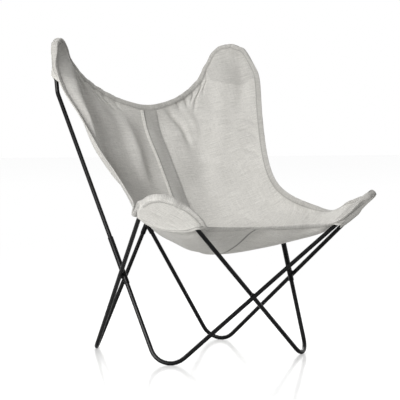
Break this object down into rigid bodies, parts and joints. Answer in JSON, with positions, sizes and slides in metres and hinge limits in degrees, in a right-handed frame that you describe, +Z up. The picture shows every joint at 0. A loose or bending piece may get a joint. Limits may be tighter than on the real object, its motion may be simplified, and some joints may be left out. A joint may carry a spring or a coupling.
{
  "type": "butterfly sling chair",
  "caption": "Butterfly sling chair: crossed bent steel rods and hairpin back arms, with a light grey fabric sling hung from the peaks by pockets.",
  "frame": {"origin": "on the floor, under the middle of the chair's box", "axes": "+X to the right as seen from the front, -Y to the front, where the sitter faces, +Z up"},
  "size_m": [0.7493, 0.746, 0.8952],
  "materials": {
    "steel": "satin black powder coat",
    "sling_fabric": "light grey heathered woven fabric",
    "hem_fabric": "the same fabric, folded as an edge binding and stitched",
    "seam_fabric": "the same fabric, as strip and pockets"
  },
  "bodies": {
    "root": {"lower_rod_a": "steel", "lower_rod_b": "steel", "back_arm_left": "steel", "socket_side_left": "steel", "socket_rear_left": "steel", "weld_side_left": "steel", "back_arm_right": "steel", "socket_side_right": "steel", "socket_rear_right": "steel", "weld_side_right": "steel", "weld_front": "steel", "weld_rear": "steel", "sling_panel_left": "sling_fabric", "pocket_back_left": "seam_fabric", "pocket_front_left": "seam_fabric", "hem_side_left": "hem_fabric", "sling_panel_right": "sling_fabric", "pocket_back_right": "seam_fabric", "pocket_front_right": "seam_fabric", "hem_side_right": "hem_fabric", "hem_back": "hem_fabric", "hem_front": "hem_fabric", "seam_strip": "seam_fabric"}
  },
  "joints": []
}
